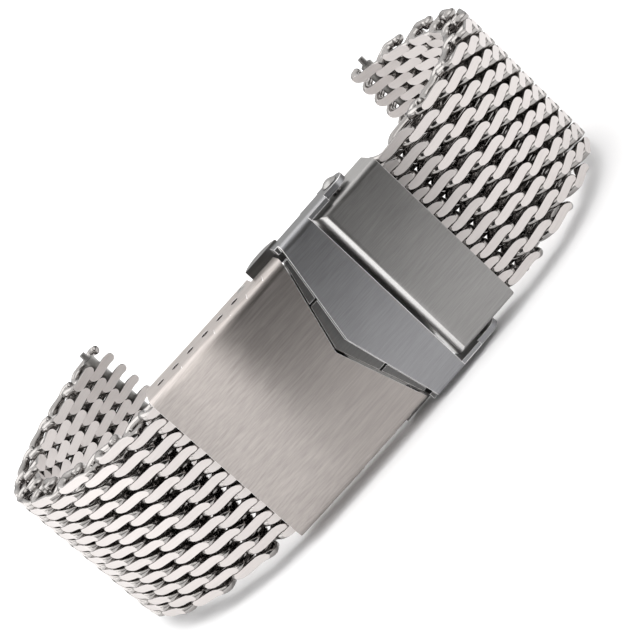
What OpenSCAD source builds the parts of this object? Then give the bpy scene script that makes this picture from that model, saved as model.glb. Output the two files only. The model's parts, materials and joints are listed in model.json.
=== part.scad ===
// Woven steel mesh watch band with a folding clasp.
// X runs along the clasp, Z across the band, and the clasp's outer face looks towards -Y.
// The band lies on its edge, as on a table, with both arms curling back as round a wrist.

/* [Clasp cover] */
// Width of the cover over its side walls
cover_w = 21; // [20.9:0.1:21.2]
// Length of the cover from its highest point to the adjusting end
cover_len = 17.5; // [17:0.1:18.5]
// Radius of the cover's gentle lengthwise bow
bow_r = 150; // [130:5:250]
// Thickness of the cover's face
face_t = 0.9; // [0.7:0.05:1]
// Thickness of the cover's side walls
side_t = 0.55; // [0.45:0.05:0.6]
// Height of the side walls with the face
side_h = 5.3; // [5.2:0.05:5.6]
// Radius of the rounded shoulder between face and side wall
shoulder_r = 1.1; // [0.6:0.1:1.4]
// Radius of the adjusting holes
hole_r = 0.45; // [0.43:0.01:0.5]
// Number of adjusting holes on each side
hole_n = 6; // [3:1:6]
// Distance between two adjusting holes
hole_gap = 2.2; // [1.8:0.05:2.3]
// Distance from the cover's end to its first adjusting hole
hole_edge = 2; // [1.7:0.1:2.2]
// Distance from the middle of the cover to the tip of its notch
notch_tip = 1.55; // [1.3:0.05:2]
// Distance from the middle of the cover to the corners of its notch
notch_corner = 1.5; // [1.2:0.05:1.6]

/* [Mesh] */
// Gap between the mesh's edge and the cover's side wall
mesh_side_gap = 0.25; // [0.2:0.05:0.4]
// Gap between the mesh and the underside of the cover's face
mesh_face_gap = 0.17; // [0.15:0.01:0.2]
// Number of strands in a full row
strand_n = 19; // [15:2:19]
// Width of a flattened strand
strand_w = 0.86; // [0.7:0.02:0.88]
// Thickness of a flattened strand
strand_t = 0.9; // [0.7:0.02:0.92]
// Thickness of the mesh
mesh_t = 3.6; // [3.4:0.05:3.65]
// Distance between the bends of one wire coil
coil_h = 4.35; // [4.2:0.05:4.5]
// Distance between two rows
row_gap = 3.2; // [3.1:0.02:3.3]
// Rows in the arm that the cover holds
rows_a = 19; // [12:1:19]
// Rows in the arm that the end cap holds
rows_b = 18; // [12:1:18]

/* [Curl of the arms] */
// Slope of the mesh where it leaves the cover
slope_a = 6; // [4:0.5:8]
// Bend at the first joint of the cover's arm
bend_a_first = 10.5; // [8:0.5:11]
// Bend at the last joint of the cover's arm
bend_a_last = 5; // [3:0.5:8]
// Bend at the first joint of the end cap's arm
bend_b_start = 5; // [2:0.5:8]
// Bend at the second joint of the end cap's arm
bend_b_first = 10; // [8:0.5:11]
// Bend at the last joint of the end cap's arm
bend_b_last = 6.2; // [3:0.2:8]

/* [Flip lock] */
// Gap between the cover's side wall and the lock's flank
lock_side_gap = 0.1; // [0.08:0.01:0.2]
// Thickness of the lock's sheet
lock_t = 0.7; // [0.6:0.05:0.75]
// Distance from the cover's highest point to the tip of the lock's front edge
lock_tip = 0.1; // [0:0.05:0.3]
// Distance from the cover's highest point to the corners of the lock's front edge
lock_corner = 2.35; // [2.1:0.05:2.6]
// Distance from the cover's highest point to the lock's rear edge
lock_rear = 6.4; // [6:0.05:6.45]
// Height of the lock's flanks
flank_h = 3.1; // [2.6:0.05:3.15]
// Width of the middle one of the three tabs bent down from the lock's front edge
lip_w = 9.6; // [6:0.2:12]
// Height of the tabs below the sheet
lip_h = 0.6; // [0.5:0.05:1]
// Thickness of the tabs
lip_t = 0.5; // [0.3:0.05:0.55]
// Width of the slits between the tabs
lip_slit = 0.25; // [0.15:0.05:0.4]
// Gap between the feet of the tabs and the cover's notch
lip_gap = 0.3; // [0.2:0.05:0.5]
// Outer radius of the eyes round the pin
eye_r = 1.55; // [1.2:0.05:1.7]

/* [End cap] */
// Distance from the cover's highest point to the end cap
cap_start = 6.75; // [6.7:0.05:7]
// Length of the end cap
cap_len = 8.4; // [8:0.1:9]
// Gap between the end cap's side and the lock's arm
cap_side_gap = 0.45; // [0.3:0.05:0.5]
// Height of the end cap
cap_h = 4.9; // [4.85:0.05:5.1]
// Thickness of the end cap's folded sheet
cap_t = 0.55; // [0.45:0.05:0.6]
// Thickness of the end cap's sides
cap_side_t = 0.3; // [0.2:0.05:0.32]
// Radius of the end cap's folded edge
cap_fold_r = 1.4; // [0.8:0.1:2]
// Radius of the shoulder between the end cap's face and sides
cap_shoulder_r = 0.7; // [0.4:0.1:0.9]

/* [Pins and bars] */
// Radius of the pin through lock, end cap and mesh
lock_pin_r = 0.6; // [0.5:0.05:0.65]
// Distance from the end cap's folded edge to its pin
lock_pin_set = 3.85; // [3.7:0.05:4]
// Radius of the pin's domed heads
pin_head_r = 1; // [0.85:0.05:1.2]
// Height of the pin's domed heads
pin_head_h = 0.5; // [0.3:0.05:0.6]
// Radius of the two blade hinge pins
hinge_pin_r = 0.55; // [0.45:0.05:0.55]
// Radius of the sprung bars in the end rows
bar_r = 0.8; // [0.76:0.01:0.84]
// Radius of the sprung tips inside these bars
tip_r = 0.6; // [0.57:0.01:0.62]
// Radius of the sprung adjusting bar in the cover
adjust_r = 0.64; // [0.6:0.02:0.66]
// Radius of the sprung tips inside the adjusting bar
adjust_tip_r = 0.45; // [0.41:0.01:0.47]
// Radius of the free ends of all sprung tips
tip_end_r = 0.4; // [0.35:0.01:0.4]
// Length of the free ends that enter the watch case
tip_end_len = 0.9; // [0.6:0.05:1]
// Length of the sprung tips inside their bars
tip_in = 1.6; // [1.2:0.05:1.65]
// Depth of the bores in the ends of the sprung bars
bar_bore = 2.5; // [2.45:0.05:3]
// Radial clearance of a pin that turns or slides
run_gap = 0.05; // [0.02:0.01:0.08]

/* [Folding blades] */
// Gap between the blades and the flange of a pressed button
blade_side_gap = 0.15; // [0.1:0.05:0.9]
// Thickness of both blades
blade_t = 0.8; // [0.6:0.05:0.85]
// Distance from the cover's highest point to the cover's hinge
hinge_cover_x = 3; // [2.95:0.05:3.6]
// Distance from the cover's highest point to the hinge between the blades
hinge_blade_x = 15; // [14:0.1:15.2]
// Depth of the cover's hinge below the face
hinge_cover_depth = 4.4; // [4.3:0.05:4.45]
// Outer radius of the cover hinge's knuckle
knuckle_cover_r = 1.1; // [1:0.05:1.2]
// Outer radius of the blade hinge's knuckles
knuckle_blade_r = 0.95; // [0.85:0.05:0.98]
// Width of the middle knuckle
knuckle_w = 6; // [4:0.5:10]
// Gap between things that pass each other
gap = 0.2; // [0.15:0.01:0.25]
// Distance from the cover's highest point to the rivets of the clasp head
rivet_s = 8; // [7.5:0.1:8.5]
// Distance of the outer rivets from the middle of the band
rivet_z = 6; // [4:0.5:7]
// Radius of the rivets
rivet_r = 0.6; // [0.4:0.05:0.7]
// Radius of the rivets' heads
rivet_head_r = 1; // [0.8:0.05:1.2]
// Height of the rivets' heads
rivet_head_h = 0.3; // [0.2:0.05:0.4]

/* [Push buttons] */
// Distance from the cover's highest point to the middle of the buttons
button_x = 0.7; // [0.5:0.05:0.9]
// Radius of the half round button pads
button_r = 2.4; // [2:0.1:2.5]
// Height of the button pads
button_h = 1.5; // [1.3:0.05:1.6]
// How far the pads stand out of the side walls
button_out = 1; // [0.85:0.05:1.2]
// Radius of the button stems
stem_r = 0.62; // [0.5:0.02:0.65]
// Depth of the bores that hold a button's stem and spring
bore_depth = 3.5; // [3:0.1:4]
// Travel of a button
button_travel = 0.8; // [0.5:0.1:0.8]

/* [Hidden] */
$fn = 64;
eps = 0.01;
half_w = cover_w / 2;
wall_in = half_w - side_t;
strand_half = wall_in - mesh_side_gap;
strand_gap = (2 * strand_half - strand_w) / (strand_n - 1);
lock_in = half_w + lock_side_gap;
lock_w = 2 * (lock_in + lock_t);
cap_w = 2 * (lock_in - cap_side_gap);
mesh_mid = face_t + mesh_t / 2 + mesh_face_gap;
coil_reach = coil_h / 2 + strand_t / 2;
blade_depth = mesh_mid + mesh_t / 2 + gap;
inner_depth = blade_depth + blade_t + gap;
hinge_blade_depth = inner_depth - 0.07;
lock_pin_x = cap_start + lock_pin_set;
lock_pin_y = cap_h / 2;
flank_start = lock_corner - 0.55;
cap_end = cap_start + cap_len;
cap_in = cap_w / 2 - cap_side_t;
inside_n = strand_n - 2;
bar_back = 1.05;
bar_b_back = 0.6;
lug_set = 0.7;
button_top = flank_h + gap;
button_cy = button_top + button_h - button_r;
stem_y = button_top + 0.5;
block_reach = 1.7;
block_x0 = button_x - block_reach;
block_x1 = button_x + block_reach;
flange_t = 0.5;
flange_out = wall_in - 0.1;
blade_w = 2 * (flange_out - flange_t - button_travel - blade_side_gap);
block_half = blade_w / 2 - 0.1;
spring_start = block_half - bore_depth;
spring_len = button_travel + 1;
ear_t = 0.6;
ear_in = inside_n / 2 * strand_gap + 0.35;
ear_r = 1.1;
ear_foot = 1.6;
slot_start = lock_pin_x - ear_foot - 0.3;
slot_len = ear_foot + ear_r + 1.3;
base_depth = blade_depth + 0.35;
base_t = inner_depth - base_depth - 0.04;
widest = max(lock_w / 2 + pin_head_h, half_w + button_out);

// A point at distance s along the bowed clasp and depth t below its face
function bowed(s, t) = [(bow_r - t) * sin(s / bow_r * 180 / PI),
                        bow_r - (bow_r - t) * cos(s / bow_r * 180 / PI)];

// Headings and centres of the rows in the cover's arm
function head_a(i) = slope_a + i * bend_a_first
    + (bend_a_last - bend_a_first) / (rows_a - 2) * i * (i - 1) / 2;
function dir_a(i) = [-cos(head_a(i)), sin(head_a(i))];
function centre_a(i) = i == 0
    ? bowed(-(cover_len - hole_edge + bar_back), mesh_mid)
    : centre_a(i - 1) + row_gap / 2 * (dir_a(i - 1) + dir_a(i));
function joint_a(i) = centre_a(i - 1) + row_gap / 2 * dir_a(i - 1);

// Headings and centres of the rows in the end cap's arm
function head_b(i) = i < 2 ? 0
    : bend_b_start + (i - 2) * bend_b_first
    + (bend_b_last - bend_b_first) / (rows_b - 4) * (i - 2) * (i - 3) / 2;
function dir_b(i) = [cos(head_b(i)), sin(head_b(i))];
function centre_b(i) = i == 0
    ? [lock_pin_x + bar_b_back, lock_pin_y]
    : centre_b(i - 1) + row_gap / 2 * (dir_b(i - 1) + dir_b(i));
function joint_b(i) = centre_b(i - 1) + row_gap / 2 * dir_b(i - 1);

// Corners of a row with centre c and heading d
function corners(c, d) = [for (p = [-1, 1], q = [-1, 1])
    c + p * coil_reach * d + q * mesh_t / 2 * [-d[1], d[0]]];
all_corners = concat(
    [for (i = [0:rows_a - 1], p = corners(centre_a(i), dir_a(i))) p],
    [for (i = [0:rows_b - 1], p = corners(centre_b(i), dir_b(i))) p]);
x_low = min([for (p = all_corners) p[0]]);
x_high = max([for (p = all_corners) p[0]]);
y_high = max([for (p = all_corners) p[1]]);
shift = [-(x_low + x_high) / 2, -y_high / 2, widest];

bar_a_at = bowed(-(cover_len - hole_edge), mesh_mid);
hinge_cover_at = bowed(-hinge_cover_x, hinge_cover_depth);
hinge_blade_at = bowed(-hinge_blade_x, hinge_blade_depth);
lug_a_at = centre_a(rows_a - 1) + lug_set * dir_a(rows_a - 1);
lug_b_at = centre_b(rows_b - 1) + lug_set * dir_b(rows_b - 1);
echo(shift = shift);
echo(joints_a = [for (i = [1:rows_a - 1]) joint_a(i)]);
echo(joints_b = [for (i = [2:rows_b - 1]) joint_b(i)]);
echo(heads_a = [for (i = [0:rows_a - 1]) head_a(i)]);
echo(heads_b = [for (i = [0:rows_b - 1]) head_b(i)]);
echo(centres_a = [for (i = [0:rows_a - 1]) centre_a(i)]);
echo(centres_b = [for (i = [0:rows_b - 1]) centre_b(i)]);
echo(springs = spring_start);
echo(mesh_edge = strand_half);
echo(pins = [hinge_cover_at, hinge_blade_at, [lock_pin_x, lock_pin_y], lug_a_at, lug_b_at, bar_a_at]);

// Moves a piece from the clasp's own frame to the frame of the whole band
module placed() {
    translate(shift) children();
}

// A round bar along Z from z0 to z1 at point p
module rod(p, r, z0, z1) {
    translate([p[0], p[1], z0]) cylinder(r = r, h = z1 - z0);
}

// A bowed plate: from s0 to s1 along the clasp and from depth t0 to t1
module bowed_plate(s0, s1, t0, t1, width) {
    turn = 180 / PI / bow_r;
    translate([0, bow_r, 0]) rotate([0, 0, -90 + s0 * turn])
        rotate_extrude(angle = (s1 - s0) * turn, $fn = 360)
            translate([bow_r - t1, -width / 2]) square([t1 - t0, width]);
}

// A drawing in X and Y, thickened along Z from z0 to z1 and again on the other side
module both_sides(z0, z1) {
    translate([0, 0, z0]) linear_extrude(z1 - z0) children();
    translate([0, 0, -z1]) linear_extrude(z1 - z0) children();
}

// The outline of the notch, drawn in X and Z, cut down to depth
module notch(width, depth) {
    half = width / 2;
    translate([0, depth, 0]) rotate([90, 0, 0]) linear_extrude(depth + 1)
        polygon([[-notch_tip, 0], [notch_edge(half), half], [cover_len, half], [cover_len, -half],
                 [notch_edge(half), -half]]);
}

// The bent sheet section of the cover, drawn with the bow's radius as X
module cover_section() {
    difference() {
        union() {
            translate([bow_r - side_h, -half_w]) square([side_h - shoulder_r, cover_w]);
            translate([bow_r - side_h, -half_w + shoulder_r])
                square([side_h, cover_w - 2 * shoulder_r]);
            for (side = [-1, 1])
                translate([bow_r - shoulder_r, side * (half_w - shoulder_r)]) circle(r = shoulder_r);
        }
        translate([bow_r - side_h - 1, -wall_in]) square([side_h + 1 - face_t, 2 * wall_in]);
    }
}

module cover() {
    turn = 180 / PI / bow_r;
    color("silver") placed() difference() {
        translate([0, bow_r, 0]) rotate([0, 0, -90 - cover_len * turn])
            rotate_extrude(angle = (cover_len + notch_corner) * turn, $fn = 360) cover_section();
        notch(2 * cover_w, side_h / 3);
        for (k = [0:hole_n - 1])
            rod(bowed(-(cover_len - hole_edge) + k * hole_gap, mesh_mid), hole_r, -half_w - 1, half_w + 1);
        rod(hinge_cover_at, hinge_pin_r + 0.01, -half_w - 1, half_w + 1);
        // Openings for the button pads
        translate([button_x - button_r - 0.1, button_top - 0.1, -cover_w])
            cube([3 * button_r, side_h, 2 * cover_w]);
    }
}

module adjust_bar() {
    end = strand_half - 0.35;
    color("gray") placed() difference() {
        rod(bar_a_at, adjust_r, -end, end);
        for (side = [-1, 1]) scale([1, 1, side])
            rod(bar_a_at, adjust_tip_r + run_gap, end - bar_bore, 2 * end);
    }
}

// The sprung tip of the adjusting bar on one side
module adjust_tip(side) {
    end = half_w - 0.3;
    color("silver") placed() scale([1, 1, side]) union() {
        rod(bar_a_at, adjust_tip_r, strand_half - tip_in, wall_in - 0.1);
        rod(bar_a_at, tip_end_r, wall_in - 0.1 - eps, end);
    }
}

module adjust_tip_top() { adjust_tip(1); }
module adjust_tip_bottom() { adjust_tip(-1); }

module cover_hinge_pin() {
    color("gray") placed() rod(hinge_cover_at, hinge_pin_r, -half_w + 0.05, half_w - 0.05);
}

module outer_blade() {
    half = blade_w / 2;
    far = hinge_blade_x - knuckle_blade_r - 0.12;
    color("gray") placed() difference() {
        union() {
            bowed_plate(-hinge_blade_x, -hinge_cover_x, blade_depth, blade_depth + blade_t, blade_w - 0.1);
            rod(hinge_cover_at, knuckle_cover_r, -half, half);
            for (z0 = [-half, knuckle_w / 2 + 0.1])
                rod(hinge_blade_at, knuckle_blade_r, z0, z0 + half - knuckle_w / 2 - 0.1);
        }
        rod(hinge_cover_at, hinge_pin_r + run_gap, -half - 1, half + 1);
        rod(hinge_blade_at, hinge_pin_r + run_gap, -half - 1, half + 1);
        rod(hinge_blade_at, knuckle_blade_r + 0.12, -knuckle_w / 2 - 0.1, knuckle_w / 2 + 0.1);
        // Room for the inner blade's side of the hinge
        bowed_plate(-hinge_blade_x, -far, blade_depth + blade_t - 0.05, inner_depth + 2 * blade_t,
                    2 * blade_w);
    }
}

module blade_hinge_pin() {
    half = blade_w / 2;
    color("gray") placed() rod(hinge_blade_at, hinge_pin_r, -half, half);
}

module inner_blade() {
    half = blade_w / 2;
    color("gray") placed() difference() {
        union() {
            bowed_plate(-hinge_blade_x, lock_pin_x - 0.6, inner_depth, inner_depth + blade_t, blade_w);
            rod(hinge_blade_at, knuckle_blade_r, -knuckle_w / 2, knuckle_w / 2);
        }
        rod(hinge_blade_at, hinge_pin_r + 0.01, -knuckle_w, knuckle_w);
        for (z0 = [-half - 1, knuckle_w / 2])
            rod(hinge_blade_at, knuckle_blade_r + 0.12, z0, z0 + half + 1 - knuckle_w / 2);
        for (z = [-rivet_z, 0, rivet_z]) rivet_at(z, rivet_r + 0.01, -5, 5);
    }
}

// A rod square to the bowed blade at the rivets' place, from depth t0 to t1 from the blade's top
module rivet_at(z, r, t0, t1) {
    at = bowed(rivet_s, inner_depth);
    translate([at[0], at[1], z]) rotate([0, 0, rivet_s / bow_r * 180 / PI]) translate([0, t0, 0])
        rotate([-90, 0, 0]) cylinder(r = r, h = t1 - t0);
}

module clasp_head() {
    half = ear_in + ear_t;
    base_y = bowed(lock_pin_x + 0.8, base_depth)[1];
    color("gray") placed() difference() {
        union() {
            bowed_plate(lock_rear, lock_pin_x + 0.8, base_depth, base_depth + base_t, 2 * half - 0.2);
            rod([lock_pin_x, lock_pin_y], ear_r, ear_in, half);
            rod([lock_pin_x, lock_pin_y], ear_r, -half, -ear_in);
            both_sides(ear_in, half)
                polygon([[lock_pin_x - ear_r + 0.1, lock_pin_y], [lock_pin_x + ear_r - 0.1, lock_pin_y],
                         [lock_pin_x + 0.7, base_y + base_t / 2],
                         [lock_pin_x - ear_foot, base_y + base_t / 2]]);
        }
        rod([lock_pin_x, lock_pin_y], lock_pin_r + 0.01, -half - 1, half + 1);
        for (z = [-rivet_z, 0, rivet_z]) rivet_at(z, rivet_r + 0.01, -5, 5);
    }
}

module head_rivets() {
    color("silver") placed() for (z = [-rivet_z, 0, rivet_z]) union() {
        rivet_at(z, rivet_r, -(inner_depth - base_depth) + 0.02, blade_t + eps);
        rivet_at(z, rivet_head_r, blade_t + 0.01, blade_t + rivet_head_h);
    }
}

// The block on the inner blade that guides both push buttons
module button_block() {
    top = lock_t + lip_h + 0.3;
    color("gray") placed() difference() {
        translate([block_x0, top, -block_half])
            cube([block_x1 - block_x0, inner_depth - 0.02 - top, 2 * block_half]);
        for (side = [-1, 1]) scale([1, 1, side])
            rod([button_x, stem_y], stem_r + run_gap, spring_start, block_half + 1);
    }
}

// One push button, drawn for the side with positive Z
module push_button(side) {
    color("silver") placed() scale([1, 1, side]) union() {
        rod([button_x, stem_y], stem_r, spring_start + spring_len, flange_out);
        intersection() {
            translate([button_x, button_cy, flange_out - flange_t])
                cylinder(r = button_r, h = half_w + button_out - flange_out + flange_t);
            translate([button_x - button_r, button_top, 0]) cube([2 * button_r, button_h, 2 * half_w]);
        }
        translate([button_x - button_r - 0.5, button_top + 0.1, flange_out - flange_t])
            cube([button_r, button_h - 0.5, flange_t]);
    }
}

module push_button_top() { push_button(1); }
module push_button_bottom() { push_button(-1); }

// The spring behind one button, as the sleeve that it fills
module button_spring(side) {
    color("dimgray") placed() scale([1, 1, side]) difference() {
        rod([button_x, stem_y], stem_r - 0.02, spring_start, spring_start + spring_len);
        rod([button_x, stem_y], stem_r - 0.22, spring_start - 1, spring_start + spring_len + 1);
    }
}

module button_spring_top() { button_spring(1); }
module button_spring_bottom() { button_spring(-1); }

// The side outline of the lock's flank, arm and eye
module lock_side() {
    arm_top = 0.3;
    arm_end = lock_pin_x - 1.5;
    eye_top = lock_pin_y - eye_r;
    translate([flank_start, 0]) square([lock_rear - flank_start, flank_h]);
    translate([lock_rear - eps, arm_top]) square([arm_end - lock_rear + eps, flank_h + 0.3 - arm_top]);
    translate([arm_end - eps, eye_top]) square([lock_pin_x - arm_end + eps, 2 * eye_r - 0.2]);
    translate([lock_pin_x, lock_pin_y]) circle(r = eye_r);
}

// The lock's cross section, drawn with Y as X and Z as Y
module lock_section() {
    half = lock_w / 2;
    round_r = 0.9;
    difference() {
        union() {
            translate([round_r, -half]) square([2 * flank_h, lock_w]);
            translate([0, -half + round_r]) square([2 * flank_h, lock_w - 2 * round_r]);
            for (side = [-1, 1]) translate([round_r, side * (half - round_r)]) circle(r = round_r);
        }
        translate([lock_t, -lock_in]) square([3 * flank_h, 2 * lock_in]);
    }
}

// Distances along the clasp of the cover's notch and of the lock's front edge, at z from the middle
function notch_edge(z) = -notch_tip + (notch_corner + notch_tip) / half_w * abs(z);
function lock_edge(z) = lock_tip + (lock_corner - lock_tip) / (lock_w / 2) * abs(z);

// One tab of the lip from z0 to z1: a wall along the lock's edge with a foot towards the cover
module lip_tab(z0, z1) {
    line = z0 < 0 && z1 > 0 ? [z0, 0, z1] : [z0, z1];
    back = [for (i = [len(line) - 1:-1:0]) line[i]];
    low = lock_t + lip_h;
    translate([0, low, 0]) rotate([90, 0, 0]) linear_extrude(lip_h + lock_t / 2)
        polygon(concat([for (z = line) [lock_edge(z), z]], [for (z = back) [lock_edge(z) + lip_t, z]]));
    translate([0, low, 0]) rotate([90, 0, 0]) linear_extrude(lip_t)
        polygon(concat([for (z = line) [notch_edge(z) + lip_gap, z]],
                       [for (z = back) [lock_edge(z) + lip_t / 2, z]]));
}

module flip_lock() {
    half = lock_w / 2;
    lip_half = lip_w / 2;
    lip_reach = wall_in - 0.15;
    color("lightsteelblue") placed() difference() {
        union() {
            difference() {
                rotate([90, 0, 90]) linear_extrude(lock_pin_x + 2 * eye_r) lock_section();
                // The front edge
                translate([0, 1.5 * lock_t, 0]) rotate([90, 0, 0]) linear_extrude(3 * lock_t)
                    polygon([[lock_tip, 0], [lock_edge(half + 1), half + 1], [-cover_len, half + 1],
                             [-cover_len, -half - 1], [lock_edge(half + 1), -half - 1]]);
                // The open room behind the rear edge
                translate([lock_rear, -1, -lock_in]) cube([cap_len * 2, 3 * flank_h, 2 * lock_in]);
                both_sides(lock_in - eps, half + 1) difference() {
                    translate([-1, -1]) square([lock_pin_x + 3 * eye_r, 3 * flank_h]);
                    lock_side();
                }
            }
            lip_tab(-lip_half, lip_half);
            lip_tab(lip_half + lip_slit, lip_reach);
            lip_tab(-lip_reach, -lip_half - lip_slit);
        }
        rod([lock_pin_x, lock_pin_y], lock_pin_r + run_gap, -half - 1, half + 1);
    }
}

// The pin with its two domed heads
module lock_pin() {
    half = lock_w / 2 + 0.02;
    dome_r = (pin_head_r * pin_head_r + pin_head_h * pin_head_h) / (2 * pin_head_h);
    color("silver") placed() union() {
        rod([lock_pin_x, lock_pin_y], lock_pin_r, -half, half);
        for (side = [-1, 1]) translate([lock_pin_x, lock_pin_y, 0]) scale([1, 1, side]) intersection() {
            translate([0, 0, half + pin_head_h - 0.02 - dome_r]) sphere(r = dome_r);
            translate([0, 0, half]) cylinder(r = pin_head_r, h = 2 * pin_head_h);
        }
    }
}

// The end cap's side outline, drawn in by inset
module cap_outline(inset, open) {
    r = cap_fold_r - inset;
    x0 = cap_start + inset;
    translate([x0, inset + r]) square([cap_end + open - x0, cap_h - 2 * (inset + r)]);
    translate([x0 + r, inset]) square([cap_end + open - x0 - r, cap_h - 2 * inset]);
    translate([x0 + r, inset + r]) circle(r = r);
    translate([x0 + r, cap_h - inset - r]) circle(r = r);
}

// The end cap's cross section with its rounded shoulders, drawn with Y as X and Z as Y
module cap_section() {
    half = cap_w / 2;
    r = cap_shoulder_r;
    translate([0, -half + r]) square([cap_h, cap_w - 2 * r]);
    translate([r, -half]) square([cap_h - r, cap_w]);
    for (side = [-1, 1]) translate([r, side * (half - r)]) circle(r = r);
}

module end_cap() {
    half = cap_w / 2;
    color("gray") placed() difference() {
        intersection() {
            translate([0, 0, -half]) linear_extrude(cap_w) cap_outline(0, 0);
            rotate([90, 0, 90]) linear_extrude(2 * cap_end) cap_section();
        }
        translate([0, 0, -cap_in]) linear_extrude(2 * cap_in) cap_outline(cap_t, 1);
        rod([lock_pin_x, lock_pin_y], lock_pin_r + run_gap, -half - 1, half + 1);
        // Slots in the back for the head's ears
        for (z0 = [ear_in - gap, -cap_in]) translate([slot_start, cap_h - 2 * cap_t, z0])
            cube([slot_len, 3 * cap_t, cap_in - ear_in + gap]);
    }
}

// A sprung bar in the row at the free end of an arm
module lug_bar(at) {
    end = strand_half - 0.1;
    color("gray") placed() difference() {
        rod(at, bar_r, -end, end);
        for (side = [-1, 1]) scale([1, 1, side]) rod(at, tip_r + run_gap, end - bar_bore, 2 * end);
    }
}

// The sprung tip of such a bar, which enters the watch case
module lug_tip(at, side) {
    end = strand_half + 0.02;
    color("silver") placed() scale([1, 1, side]) union() {
        rod(at, tip_r, strand_half - tip_in, end);
        rod(at, tip_end_r, end - eps, end + tip_end_len);
    }
}

module lug_bar_a() { lug_bar(lug_a_at); }
module lug_tip_a_top() { lug_tip(lug_a_at, 1); }
module lug_tip_a_bottom() { lug_tip(lug_a_at, -1); }
module lug_bar_b() { lug_bar(lug_b_at); }
module lug_tip_b_top() { lug_tip(lug_b_at, 1); }
module lug_tip_b_bottom() { lug_tip(lug_b_at, -1); }

// One wire coil of the mesh, with v along the arm as X and its outer side towards out times Y.
// Strands lie by turns in the outer and the inner layer; turn says which way the wire climbs.
module coil(n, outer_first, out, turn) {
    first = (strand_n - n) / 2;
    half_s = strand_w / 2;
    half_t = mesh_t / 2;
    layer = half_t - strand_t;
    rotate([90, 0, 90]) union() {
        translate([0, 0, -coil_reach]) linear_extrude(2 * coil_reach)
            for (k = [first:strand_n - 1 - first])
                strand_section(k, (k % 2 == 0) == outer_first ? out : -out);
        for (end = [-1, 1]) translate([0, 0, end * coil_h / 2 - strand_t / 2]) linear_extrude(strand_t)
            for (k = [first:strand_n - 1 - first])
                if ((k % 2 == 0) == outer_first && k + end * turn >= first
                    && k + end * turn <= strand_n - 1 - first)
                    translate([0, strand_z(k)]) polygon([
                        [out * half_t, -half_s], [out * half_t, half_s], [out * layer, half_s],
                        [-out * layer, end * turn * strand_gap + half_s],
                        [-out * half_t, end * turn * strand_gap + half_s],
                        [-out * half_t, end * turn * strand_gap - half_s],
                        [-out * layer, end * turn * strand_gap - half_s], [out * layer, -half_s]]);
    }
}

function strand_z(k) = (k - (strand_n - 1) / 2) * strand_gap;

// The cut through one strand in the outer or the inner layer
module strand_section(k, out) {
    translate([out > 0 ? mesh_t / 2 - strand_t : -mesh_t / 2, strand_z(k) - strand_w / 2])
        square([strand_t, strand_w]);
}

// One row of the cover's arm
module row_a(i) {
    at = centre_a(i);
    color("gainsboro") placed() translate([at[0], at[1], 0]) rotate([0, 0, 180 - head_a(i)])
        coil(strand_n, i % 2 == 0, 1, 1);
}

// One row of the end cap's arm with n strands
module row_b(i, n) {
    at = centre_b(i);
    color("gainsboro") placed() translate([at[0], at[1], 0]) rotate([0, 0, head_b(i)])
        coil(n, i % 2 == 0, -1, -1);
}

module mesh_b_inside() {
    row_b(0, inside_n);
    row_b(1, inside_n);
}

// The name of a row's node
function row_name(arm, i) = str("mesh_", arm, "_", i < 10 ? "0" : "", i);

cover();
adjust_bar();
adjust_tip_top();
adjust_tip_bottom();
cover_hinge_pin();
outer_blade();
blade_hinge_pin();
inner_blade();
clasp_head();
head_rivets();
button_block();
push_button_top();
push_button_bottom();
button_spring_top();
button_spring_bottom();
flip_lock();
lock_pin();
end_cap();
lug_bar_a();
lug_tip_a_top();
lug_tip_a_bottom();
lug_bar_b();
lug_tip_b_top();
lug_tip_b_bottom();
mesh_b_inside();
for (i = [0:rows_a - 1]) row_a(i);
for (i = [2:rows_b - 1]) row_b(i, strand_n);
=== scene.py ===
import json
import math

import bmesh
import bpy
import numpy as np
from mathutils import Matrix, Vector


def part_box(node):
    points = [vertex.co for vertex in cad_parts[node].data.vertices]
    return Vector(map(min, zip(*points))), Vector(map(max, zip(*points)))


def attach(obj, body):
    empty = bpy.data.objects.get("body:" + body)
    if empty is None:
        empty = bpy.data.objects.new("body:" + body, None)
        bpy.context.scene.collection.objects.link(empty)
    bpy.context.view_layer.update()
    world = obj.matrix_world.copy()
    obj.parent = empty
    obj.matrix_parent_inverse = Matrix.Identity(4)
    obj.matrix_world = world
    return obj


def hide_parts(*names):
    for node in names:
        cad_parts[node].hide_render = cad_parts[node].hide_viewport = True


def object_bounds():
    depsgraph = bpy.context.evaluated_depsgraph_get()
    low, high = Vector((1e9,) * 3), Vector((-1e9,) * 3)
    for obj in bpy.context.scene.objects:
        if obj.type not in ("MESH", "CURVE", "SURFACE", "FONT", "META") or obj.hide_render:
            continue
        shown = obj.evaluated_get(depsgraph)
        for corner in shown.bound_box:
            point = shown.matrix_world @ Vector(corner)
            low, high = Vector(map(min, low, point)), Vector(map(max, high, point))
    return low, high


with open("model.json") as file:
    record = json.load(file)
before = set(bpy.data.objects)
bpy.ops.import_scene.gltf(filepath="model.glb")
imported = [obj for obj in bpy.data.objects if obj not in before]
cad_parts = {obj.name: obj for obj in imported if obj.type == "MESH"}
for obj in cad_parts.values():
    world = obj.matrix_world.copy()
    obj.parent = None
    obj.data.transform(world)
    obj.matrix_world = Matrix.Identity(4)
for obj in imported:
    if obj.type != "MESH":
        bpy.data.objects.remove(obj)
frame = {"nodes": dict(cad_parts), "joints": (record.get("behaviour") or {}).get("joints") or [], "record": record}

mm = 0.001
cadLow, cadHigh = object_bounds()
nodes = frame["nodes"]
bodies = frame["record"]["behaviour"]["bodies"]
bodyOf = {node: body for body, members in bodies.items() for node in members}
jointAt = {joint["name"]: Vector(joint["pos_m"]) for joint in frame["joints"] if joint["type"] == "hinge"}
scene = bpy.context.scene
scene.view_settings.view_transform = "Standard"
print("frame loaded,", len(nodes), "nodes")


# Steel finishes

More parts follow.
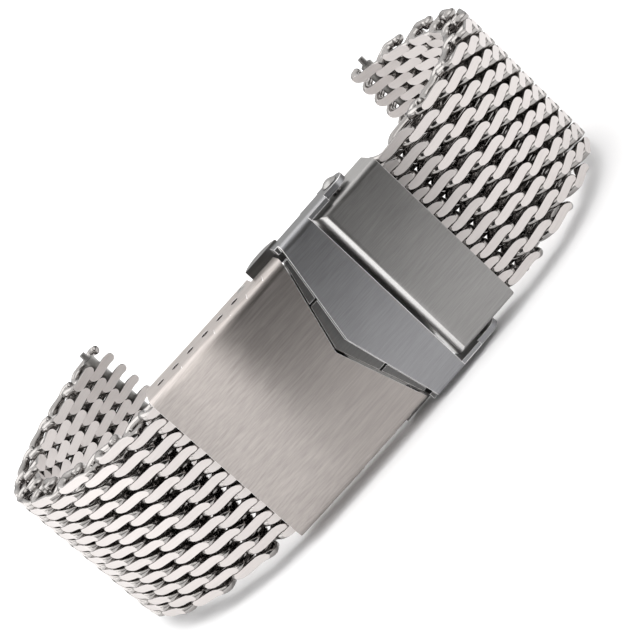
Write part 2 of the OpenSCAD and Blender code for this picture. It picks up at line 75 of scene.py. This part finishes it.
# Along and across count the streaks in a metre, spread is how far the gloss runs across them
finishes = {
    "cover": {"colour": (0.40, 0.368, 0.350), "rough": 0.32, "spread": 0.88, "along": 220, "across": 5500,
              "bump": 0.05, "vary": 0.15},
    "lock": {"colour": (0.345, 0.345, 0.357), "rough": 0.36, "spread": 0.8, "along": 400, "across": 9000,
             "bump": 0.12, "vary": 0.13},
    "cap": {"colour": (0.345, 0.338, 0.332), "rough": 0.36, "spread": 0.8, "along": 400, "across": 9000,
            "bump": 0.12, "vary": 0.13},
    "ground": {"colour": (0.59, 0.555, 0.540), "rough": 0.40, "spread": 0.0, "along": 300, "across": 5000,
               "bump": 0.05, "vary": 0.05},
    # A much brighter steel for the end cap's fold: painted sheen that lifts the dark reflection there
    "paintedSheenFold": {"colour": (0.66, 0.65, 0.64), "rough": 0.34, "spread": 0.0, "along": 200, "across": 9000,
             "bump": 0.06, "vary": 0.10},
    # The softened edges' steel: polished, and so bright that it is partly a painted highlight line along the
    # bevels
    "edge": {"colour": (0.86, 0.855, 0.85), "rough": 0.30, "spread": 0.0, "along": 300, "across": 5000,
             "bump": 0.03, "vary": 0.05},
    # A darker steel for the flip lock's sideways faces: painted shade
    "flank": {"colour": (0.24, 0.24, 0.245), "rough": 0.30, "spread": 0.0, "along": 400, "across": 9000,
              "bump": 0.10, "vary": 0.13},
    # A dark steel for the flip lock's tabs that lie deep behind its face: painted shade
    "shade": {"colour": (0.15, 0.148, 0.145), "rough": 0.42, "spread": 0.0, "along": 300, "across": 5000,
              "bump": 0.05, "vary": 0.12},
    # The round wire, painted darker than steel: painted shade that makes the gaps between the ground faces dark
    "wire": {"colour": (0.34, 0.325, 0.315), "rough": 0.16, "spread": 0.0, "along": 300, "across": 2500,
             "bump": 0.03, "vary": 0.12},
    "inner": {"colour": (0.36, 0.355, 0.345), "rough": 0.36, "spread": 0.0, "along": 200, "across": 5000,
              "bump": 0.08, "vary": 0.10},
    "button": {"colour": (0.24, 0.235, 0.23), "rough": 0.34, "spread": 0.0, "along": 300, "across": 5000,
               "bump": 0.08, "vary": 0.10},
    "polished": {"colour": (0.27, 0.265, 0.26), "rough": 0.28, "spread": 0.0, "along": 1500, "across": 2500,
                 "bump": 0.02, "vary": 0.06},
    "spring": {"colour": (0.36, 0.355, 0.35), "rough": 0.30, "spread": 0.0, "along": 1500, "across": 3000,
               "bump": 0.05, "vary": 0.12},
}

# The same in every finish
brushing = {
    "detail": 4.0,
    "breakUp": 0.62,
    "patchScale": 260.0,
    "patchDetail": 3.0,
    "patchShare": 0.2,  # of the soft patches, added to the streaks
    "darkest": 0.40,  # streak value of the darkest and glossiest spots
    "lightest": 0.80,  # and of the lightest and dullest
    "glossier": 0.94,
    "duller": 1.1,
    "depth": 0.05,  # millimetres
}


def newMaterial(name):
    mat = bpy.data.materials.new(name)
    mat.use_nodes = True
    return mat, next(n for n in mat.node_tree.nodes if n.type == "BSDF_PRINCIPLED")


def steel(name, grainAxis="X"):
    # Brushed steel: long thin streaks along one axis of the piece, over soft larger patches
    kind = finishes[name.split("_")[0]]
    mat, shader = newMaterial(name + "Steel")
    shader.inputs["Metallic"].default_value = 1.0
    shader.inputs["Anisotropic"].default_value = kind["spread"]
    tree = mat.node_tree
    link = tree.links.new

    place = tree.nodes.new("ShaderNodeTexCoord")
    turn = tree.nodes.new("ShaderNodeMapping")
    along, across = kind["along"], kind["across"]
    turn.inputs["Scale"].default_value = {
        "X": (along, across, across), "Z": (across, across, along)}[grainAxis]
    link(place.outputs["Object"], turn.inputs["Vector"])
    grain = tree.nodes.new("ShaderNodeTexNoise")
    grain.inputs["Scale"].default_value = 1.0
    grain.inputs["Detail"].default_value = brushing["detail"]
    grain.inputs["Roughness"].default_value = brushing["breakUp"]
    link(turn.outputs["Vector"], grain.inputs["Vector"])
    patch = tree.nodes.new("ShaderNodeTexNoise")
    patch.inputs["Scale"].default_value = brushing["patchScale"]
    patch.inputs["Detail"].default_value = brushing["patchDetail"]
    link(place.outputs["Object"], patch.inputs["Vector"])
    both = tree.nodes.new("ShaderNodeMath")
    both.operation = "MULTIPLY_ADD"
    both.inputs[1].default_value = brushing["patchShare"]
    link(patch.outputs["Fac"], both.inputs[0])
    link(grain.outputs["Fac"], both.inputs[2])

    colour = tree.nodes.new("ShaderNodeValToRGB")
    base, vary = kind["colour"], kind["vary"]
    dark, light = colour.color_ramp.elements
    dark.position = brushing["darkest"]
    light.position = brushing["lightest"]
    dark.color = (*[c * (1 - vary) for c in base], 1)
    light.color = (*[min(1, c * (1 + vary)) for c in base], 1)
    link(both.outputs["Value"], colour.inputs["Fac"])
    link(colour.outputs["Color"], shader.inputs["Base Color"])

    gloss = tree.nodes.new("ShaderNodeMapRange")
    gloss.inputs["From Min"].default_value = brushing["darkest"]
    gloss.inputs["From Max"].default_value = brushing["lightest"]
    gloss.inputs["To Min"].default_value = kind["rough"] * brushing["glossier"]
    gloss.inputs["To Max"].default_value = kind["rough"] * brushing["duller"]
    link(both.outputs["Value"], gloss.inputs["Value"])
    link(gloss.outputs["Result"], shader.inputs["Roughness"])

    bump = tree.nodes.new("ShaderNodeBump")
    bump.inputs["Strength"].default_value = kind["bump"]
    bump.inputs["Distance"].default_value = brushing["depth"] * mm
    link(grain.outputs["Fac"], bump.inputs["Height"])
    link(bump.outputs["Normal"], shader.inputs["Normal"])
    if kind["spread"]:
        # Gloss spreads across the brushing
        around = tree.nodes.new("ShaderNodeTangent")
        around.direction_type = "RADIAL"
        around.axis = "X"
        link(around.outputs["Tangent"], shader.inputs["Tangent"])
    return mat


steels = {name: steel(name) for name in finishes}
steels["polished_Z"] = steel("polished_Z", "Z")
print("finishes made")


# Mesh arms: one flattened wire coil for each row, in millimetres

mesh = {
    "strands": 19,
    "insideStrands": 17,  # in the two rows inside the end cap
    "strandGap": 1.03,
    "innerShift": -0.3,  # the inner strands lie lower than midway between the outer ones
    "rowGap": 3.2,  # between the two rows inside the end cap
    "thick": 3.6,
    "coilLength": 5.1,
    "coilByBar": 4.5,  # shorter, to clear the sprung bar in the last row
    "radii": ((0.8, 0.515), (1.9, 0.45), (3.0, 0.56)),  # way from a strand's middle, and radius there
    "innerRadius": 0.58,  # the strands on the skin side are fuller
    "groundDepth": 0.194,  # from the ground face to the wire's middle line
    "elbowRadius": 1.1,
    "lean": 0.04,  # sideways step of a strand per length along it
    "leanReach": 1.3,
    "leanEase": (-0.3, -0.15, 0, 0.15, 0.3),  # the lean is averaged over these ways along the wire
    "sideReach": 2.65,  # where most of the step to the next strand is made
    "sideShare": 0.7,
    "runPoints": 7,
    "elbowPoints": 6,
    "ringPoints": 14,
    "cutTolerance": 1e-5,
    "flatTolerance": 1e-4,
    "flatFacing": 0.99,  # how squarely a ground face looks out
}


def strandOutline(flat):
    # A strand's straight run and the bend after it: way along the coil, height over its middle plane
    elbow = mesh["elbowRadius"]
    high = mesh["thick"] / 2 - mesh["groundDepth"]
    run = [(u, high) for u in np.linspace(-flat, flat, mesh["runPoints"])]
    angles = np.linspace(0, math.pi / 2, mesh["elbowPoints"] + 1)[1:]
    down = [(flat + elbow * math.sin(a), high - elbow + elbow * math.cos(a)) for a in angles]
    fall = [(flat + elbow, (high - elbow) * t) for t in (0.5, 0.0, -0.5)]  # above, on and below the plane
    up = [(u, -w) for u, w in reversed(down)]
    return run, down, fall, up


def coilPath(first, last, outerFirst, out, length):
    # The wire's middle line from the lowest strand to the highest, and its radius at each point
    gap, shift, lean, hold = mesh["strandGap"], mesh["innerShift"], mesh["lean"], mesh["leanReach"]
    reach, share = mesh["sideReach"], mesh["sideShare"]
    flat = length / 2 - mesh["elbowRadius"]
    run, down, fall, up = strandOutline(flat)
    line, knots, heights, middles, travelled = [], [], [], [], 0.0
    for k in range(first, last + 1):
        outer = (k % 2 == 0) == outerFirst
        layer = out if outer else -out
        z = (k - (mesh["strands"] - 1) / 2) * gap + (0 if outer else shift)
        other = shift / 2 * (1 if outer else -1)
        start, end = z + lean * hold, z - lean * hold
        before, after = z - gap / 2 + other, z + gap / 2 + other
        lead = [(-u, w) for u, w in [*fall[1::-1], *reversed(down)]] if k == first else []
        tail = [*down, *(fall + up if k < last else fall[:2])]
        for u, w in [*lead, *run, *tail]:
            point = (layer * u, layer * w)
            if line:
                travelled += math.dist(point, line[-1][:2])
            line.append((*point, travelled))
            if (u, w) == run[0]:
                middles.append(travelled + flat)
                knots += [middles[-1] + s for s in (-reach, -hold, hold, reach)]
                heights += [start + share * (before - start), start, end, end + share * (after - end)]
    x, y, way = np.array(line).T
    # The strands lean one way and their bends the other, rounded where they change
    ease = mesh["leanEase"]
    z = sum(np.interp(way + part, knots, heights) for part in ease) / len(ease)
    away = np.min(np.abs(way[:, None] - np.array(middles)), axis=1)
    radii = np.interp(away, *zip(*mesh["radii"]))
    radii = np.where(y * out < 0, np.maximum(radii, mesh["innerRadius"]), radii)
    return np.column_stack([x, y, z]), radii


def tube(path, radii, sides):
    # Rings round a path, turned so that they never twist
    ahead = np.gradient(path, axis=0)
    ahead /= np.linalg.norm(ahead, axis=1)[:, None]
    notAlong = (1.0, 0.3, 0.2)  # any direction but the path's own
    side = np.cross(ahead[0], notAlong)
    angles = np.arange(sides) * 2 * math.pi / sides
    rings = []
    for point, way, radius in zip(path, ahead, radii):
        side = side - way * side.dot(way)
        side /= np.linalg.norm(side)
        other = np.cross(way, side)
        rings.append(point + radius * (np.cos(angles)[:, None] * side + np.sin(angles)[:, None] * other))
    verts = np.concatenate(rings)
    faces = []
    for r in range(len(path) - 1):
        for s in range(sides):
            a, b = r * sides + s, r * sides + (s + 1) % sides
            faces.append((a, b, b + sides, a + sides))
    faces.append(tuple(range(sides))[::-1])
    faces.append(tuple(range(len(verts) - sides, len(verts))))
    return verts, faces


def coilMesh(name, first, last, outerFirst, out, length):
    path, radii = coilPath(first, last, outerFirst, out, length)
    verts, faces = tube(path, radii, mesh["ringPoints"])
    half = mesh["thick"] / 2
    work = bmesh.new()
    made = [work.verts.new(v) for v in verts]
    for face in faces:
        work.faces.new([made[i] for i in face])
    bmesh.ops.recalc_face_normals(work, faces=work.faces)
    # Both sides of the woven band are ground flat
    for side in (-1, 1):
        cut = bmesh.ops.bisect_plane(
            work, geom=[*work.verts, *work.edges, *work.faces], dist=mesh["cutTolerance"],
            plane_co=(0, side * half, 0), plane_no=(0, side, 0), clear_outer=True)
        rims = [e for e in cut["geom_cut"] if isinstance(e, bmesh.types.BMEdge)]
        bmesh.ops.holes_fill(work, edges=rims, sides=0)
    for face in work.faces:
        offPlane = abs(abs(face.calc_center_median().y) - half)
        ground = offPlane < mesh["flatTolerance"] and abs(face.normal.y) > mesh["flatFacing"]
        face.smooth = not ground
        face.material_index = int(ground)
    for edge in work.edges:
        if len({f.material_index for f in edge.link_faces}) > 1:
            edge.smooth = False
    bmesh.ops.scale(work, vec=(mm, mm, mm), verts=work.verts)
    data = bpy.data.meshes.new(name)
    work.to_mesh(data)
    work.free()
    # The round wire wears painted shade, the ground faces plain steel
    data.materials.append(steels["wire"])
    data.materials.append(steels["ground"])
    return data


def boxMiddle(node):
    low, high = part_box(node)
    return (low + high) / 2


coils = {}


def row(name, node, body, middle, heading, strands, outerFirst, out, length):
    # Rows that are alike share one coil, copied for each
    first = (mesh["strands"] - strands) // 2
    key = (strands, outerFirst, out, length)
    if key not in coils:
        coils[key] = coilMesh(name, first, mesh["strands"] - 1 - first, outerFirst, out, length)
    piece = bpy.data.objects.new(name, coils[key].copy())
    scene.collection.objects.link(piece)
    piece.matrix_world = Matrix.Translation(middle) @ Matrix.Rotation(heading, 4, "Z")
    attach(piece, body)
    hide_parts(node)


def buildArm(arm, firstRow, lastRow, out, rootBody):
    # Out is the side of the outer strands along the coil's own Y
    for i in range(firstRow, lastRow + 1):
        node = f"mesh_{arm}_{i:02d}"
        middle = boxMiddle(node)
        joint = f"mesh_{arm}_{max(i, 1):02d}_bend"
        way = middle - jointAt[joint] if i else jointAt[joint] - middle
        heading = math.atan2(way.y, way.x)
        body = rootBody if i == 0 else f"row_{arm}_{i:02d}"
        length = mesh["coilByBar"] if i == lastRow - 1 else mesh["coilLength"]
        row(f"coil{arm.upper()}{i:02d}", node, body, middle, heading,
            strands=mesh["strands"], outerFirst=i % 2 == 0, out=out, length=length)


buildArm("a", firstRow=0, lastRow=18, out=1, rootBody="cover")
buildArm("b", firstRow=2, lastRow=17, out=-1, rootBody="end_cap")
insideMiddle = boxMiddle("mesh_b_inside")
for i in (0, 1):
    step = Vector(((i - 0.5) * mesh["rowGap"] * mm, 0, 0))
    row(f"coilInCap{i}", "mesh_b_inside", "end_cap", insideMiddle + step, heading=0.0,
        strands=mesh["insideStrands"], outerFirst=i == 0, out=-1, length=mesh["coilLength"])
print("mesh arms woven")


# Clasp: the imported shapes with softened edges

# Edge is the width of the softening in millimetres; where a piece names a second finish, its softened edges wear
# that, a polished steel much brighter than the rest and so partly a painted highlight
clasp = {
    "cover": {"steel": "cover", "polishAndHighlightRim": "edge", "edge": 0.2, "slot": "brushed_cover"},
    "flip_lock": {"steel": "lock", "polishAndHighlightRim": "edge", "edge": 0.15, "slot": "brushed_lock"},
    "end_cap": {"steel": "cap", "edge": 0.10, "slot": "brushed_cap"},
    "lock_pin": {"steel": "polished_Z", "edge": 0.08, "slot": "polished_steel"},
    "push_button_top": {"steel": "button", "edge": 0.15, "slot": "polished_steel"},
    "push_button_bottom": {"steel": "button", "edge": 0.15, "slot": "polished_steel"},
    "outer_blade": {"steel": "inner", "edge": 0.06, "slot": "inner_steel"},
    "inner_blade": {"steel": "inner", "edge": 0.08, "slot": "inner_steel"},
    "clasp_head": {"steel": "inner", "edge": 0.06, "slot": "inner_steel"},
    "button_block": {"steel": "inner", "edge": 0.08, "slot": "inner_steel"},
    "head_rivets": {"steel": "polished", "edge": 0.08, "slot": "inner_steel"},
}
softening = {
    "weld": 2e-6,  # metres
    "flatAngle": 0.6,  # degrees, as are the next two
    "smoothAngle": 30,
    "bevelAngle": 35,
    "segments": 3,
}
facing = {
    "lipDepth": 0.6,  # the lock's tabs lie deeper than this behind its face, in millimetres
    "outward": 0.9,  # how squarely a face looks out, sideways or towards the lock
    "sideways": 0.8,
    "towardsLock": 0.35,
}


def faceFinish(node, face, low, high):
    # Faces whose colour differs from the rest of their piece: painted shade on the lock's deep tabs and on its
    # sideways faces, painted sheen on the end cap's fold
    middle, normal = face.calc_center_median(), face.normal
    if node == "flip_lock":
        deep = middle.y - low.y > facing["lipDepth"] * mm
        # Painted shade: the tabs deep behind the lock's face are coloured dark
        if normal.y < -facing["outward"] and deep and middle.x < (low.x + high.x) / 2:
            return "shade"
        # Painted shade: the lock's sideways faces are coloured darker
        if abs(normal.z) > facing["sideways"]:
            return "flank"
    # Painted sheen: the end cap's fold, facing the lock, is coloured brighter
    if node == "end_cap" and normal.x < -facing["towardsLock"]:
        return "paintedSheenFold"
    return None


def softened(node, kind):
    low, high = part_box(node)
    data = nodes[node].data.copy()
    work = bmesh.new()
    work.from_mesh(data)
    bmesh.ops.remove_doubles(work, verts=work.verts, dist=softening["weld"])
    flatAngle = math.radians(softening["flatAngle"])
    bmesh.ops.dissolve_limit(work, angle_limit=flatAngle, verts=work.verts, edges=work.edges)
    finishesHere = [kind["steel"], kind.get("polishAndHighlightRim", kind["steel"])]
    for face in work.faces:
        face.smooth = True
        finish = faceFinish(node, face, low, high)
        if finish and finish not in finishesHere:
            finishesHere.append(finish)
        face.material_index = finishesHere.index(finish) if finish else 0
    for edgeLine in work.edges:
        edgeLine.smooth = edgeLine.calc_face_angle(0) < math.radians(softening["smoothAngle"])
    # Set before the faces are written back, because clearing them resets which face wears which
    data.materials.clear()
    for finish in finishesHere:
        data.materials.append(steels[finish])
    work.to_mesh(data)
    work.free()
    piece = bpy.data.objects.new("soft_" + node, data)
    scene.collection.objects.link(piece)
    bevel = piece.modifiers.new("edges", "BEVEL")
    bevel.width = kind["edge"] * mm
    bevel.segments = softening["segments"]
    bevel.limit_method = "ANGLE"
    bevel.angle_limit = math.radians(softening["bevelAngle"])
    bevel.harden_normals = True
    # The bevel faces wear the bright edge steel where the piece names one, partly a painted highlight
    bevel.material = 1 if "polishAndHighlightRim" in kind else -1
    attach(piece, bodyOf[node])
    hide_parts(node)


for node, kind in clasp.items():
    softened(node, kind)
print("clasp dressed")


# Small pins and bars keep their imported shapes

for node, shape in nodes.items():
    if node in clasp or node.startswith("mesh"):
        continue
    name = "spring" if "spring" in node else "polished_Z" if "tip" in node else "inner"
    shape.data.materials.clear()
    shape.data.materials.append(steels[name])
print("pins and bars finished")


# Floor, room, lights and camera

stage = {
    "floor": (0.96, 0.96, 0.965),
    "floorRough": 0.95,
    "floorSize": 40.0,
    "floorDrop": 0.1,  # millimetres below the band
    "roomColour": (1.0, 0.995, 0.99),
    "roomLow": 0.32,  # brightness at the horizon
    "roomHigh": 1.32,  # and overhead
    "roomEdge": 0.65,  # height from which it is that bright, where 1 is straight up
    "cardsAhead": 37,  # millimetres in front of the cover
    "cardGlow": (1, 0.98, 0.96),
}
cards = {  # span along X and in height, in millimetres
    "darkCard": {"across": (-13.2, 32), "high": (0, 110), "shade": 0.03, "glow": 0.0},
    "brightCard": {"across": (-25, -13.2), "high": (22, 110), "shade": 0.9, "glow": 1.0},
}
lights = {  # metres and watts
    "keyLight": {"at": (-0.12, 0.06, 0.36), "aim": (0, 0, 0.01), "size": 0.40, "power": 0.7},
    "fillLight": {"at": (0.30, -0.12, 0.20), "aim": (0, 0, 0.01), "size": 0.25, "power": 0.2},
    "sideLight": {"at": (-0.22, -0.05, 0.06), "aim": (0, -0.02, 0.01), "size": 0.12, "power": 0.08},
}

floorMat, floorShader = newMaterial("paleFloor")
floorShader.inputs["Base Color"].default_value = (*stage["floor"], 1)
floorShader.inputs["Roughness"].default_value = stage["floorRough"]
floorShader.inputs["Specular IOR Level"].default_value = 0.0
floorAt = (0, 0, cadLow.z - stage["floorDrop"] * mm)
bpy.ops.mesh.primitive_plane_add(size=stage["floorSize"], location=floorAt)
floor = bpy.context.object
floor.name = "floor"
floor.data.materials.append(floorMat)

# A white room, darker near the horizon than overhead
world = bpy.data.worlds.new("studio")
scene.world = world
world.use_nodes = True
roomTree = world.node_tree
background = next(n for n in roomTree.nodes if n.type == "BACKGROUND")
background.inputs["Color"].default_value = (*stage["roomColour"], 1)
towards = roomTree.nodes.new("ShaderNodeTexCoord")
split = roomTree.nodes.new("ShaderNodeSeparateXYZ")
roomTree.links.new(towards.outputs["Generated"], split.inputs[0])
fade = roomTree.nodes.new("ShaderNodeMapRange")
fade.interpolation_type = "SMOOTHSTEP"
fade.inputs["From Min"].default_value = 0.0
fade.inputs["From Max"].default_value = stage["roomEdge"]
fade.inputs["To Min"].default_value = stage["roomLow"]
fade.inputs["To Max"].default_value = stage["roomHigh"]
roomTree.links.new(split.outputs["Z"], fade.inputs["Value"])
roomTree.links.new(fade.outputs["Result"], background.inputs["Strength"])

# Cards in front of the clasp, which only show in the steel
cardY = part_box("cover")[0].y - stage["cardsAhead"] * mm
for name, kind in cards.items():
    cardMat, cardShader = newMaterial(name)
    cardShader.inputs["Base Color"].default_value = (*[kind["shade"]] * 3, 1)
    cardShader.inputs["Specular IOR Level"].default_value = 0.0
    cardShader.inputs["Emission Color"].default_value = (*stage["cardGlow"], 1)
    cardShader.inputs["Emission Strength"].default_value = kind["glow"]
    (x0, x1), (z0, z1) = kind["across"], kind["high"]
    corners = ((x0, z0), (x1, z0), (x1, z1), (x0, z1))
    cardData = bpy.data.meshes.new(name)
    cardData.from_pydata([(x * mm, cardY, cadLow.z + z * mm) for x, z in corners], [], [(0, 1, 2, 3)])
    cardData.materials.append(cardMat)
    card = bpy.data.objects.new(name, cardData)
    scene.collection.objects.link(card)
    card.visible_camera = card.visible_diffuse = card.visible_shadow = False

for name, kind in lights.items():
    lamp = bpy.data.lights.new(name, "AREA")
    lamp.shape = "RECTANGLE"
    lamp.size = lamp.size_y = kind["size"]
    lamp.energy = kind["power"]
    holder = bpy.data.objects.new(name, lamp)
    scene.collection.objects.link(holder)
    holder.location = kind["at"]
    holder.rotation_mode = "QUATERNION"
    holder.rotation_quaternion = (Vector(kind["aim"]) - Vector(kind["at"])).to_track_quat("-Z", "Y")

view = {  # degrees, millimetres and pixels
    "azimuth": 4.863,
    "elevation": 14.644,
    "roll": -47.5,
    "distance": 175.74,
    "focalPixels": 1784.2,
    "pictureWidth": 640,
    "sensor": 36,
    "clip": (0.01, 10),  # metres
    "pin": (10.6, 2.45, 0),  # from the top of the cover's bow to the lock's pin
    "target": (-0.254, 0.0, 3.422),  # from the same point to where the camera aims
}
bowTop = boxMiddle("lock_pin") - Vector(view["pin"]) * mm
az, el, roll = (math.radians(view[key]) for key in ("azimuth", "elevation", "roll"))
ahead = Vector((math.sin(az) * math.cos(el), math.cos(az) * math.cos(el), -math.sin(el)))
right = Vector((math.cos(az), -math.sin(az), 0))
up = right.cross(ahead)
turnedRight = math.cos(roll) * right + math.sin(roll) * up
turnedUp = -math.sin(roll) * right + math.cos(roll) * up
lens = bpy.data.cameras.new("camera")
lens.sensor_width = view["sensor"]
lens.lens = view["focalPixels"] / view["pictureWidth"] * view["sensor"]
lens.clip_start, lens.clip_end = view["clip"]
camera = bpy.data.objects.new("camera", lens)
scene.collection.objects.link(camera)
target = bowTop + Vector(view["target"]) * mm
spot = target - ahead * view["distance"] * mm
camera.matrix_world = Matrix((
    (turnedRight.x, turnedUp.x, -ahead.x, spot.x),
    (turnedRight.y, turnedUp.y, -ahead.y, spot.y),
    (turnedRight.z, turnedUp.z, -ahead.z, spot.z),
    (0, 0, 0, 1)))
scene.camera = camera
print("stage, light and camera set")
